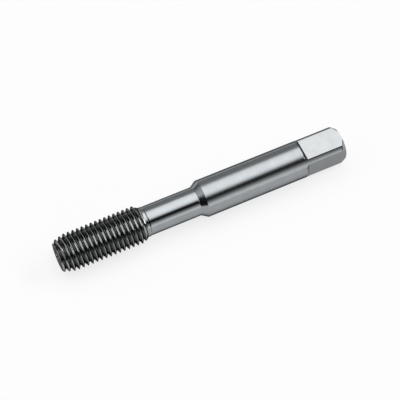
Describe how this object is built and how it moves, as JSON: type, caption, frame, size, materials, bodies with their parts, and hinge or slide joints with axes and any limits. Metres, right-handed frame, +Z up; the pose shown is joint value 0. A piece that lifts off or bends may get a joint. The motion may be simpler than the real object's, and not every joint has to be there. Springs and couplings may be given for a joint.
{
  "type": "thread tap",
  "caption": "Fluteless thread-forming tap in one piece, with a lobed right-hand thread, slim neck, ground shank and square drive.",
  "frame": {"origin": "middle of the tool's length and width, on the surface that it lies on, straight below its axis", "axes": "+X along the axis from the threaded tip to the square end; +Z up, at right angles to one flat of the square; +Y across"},
  "size_m": [0.08, 0.01, 0.01],
  "materials": {
    "tool_steel": "bright, fine ground high-speed steel"
  },
  "bodies": {
    "root": {"forming_tap": "tool_steel"}
  },
  "joints": []
}
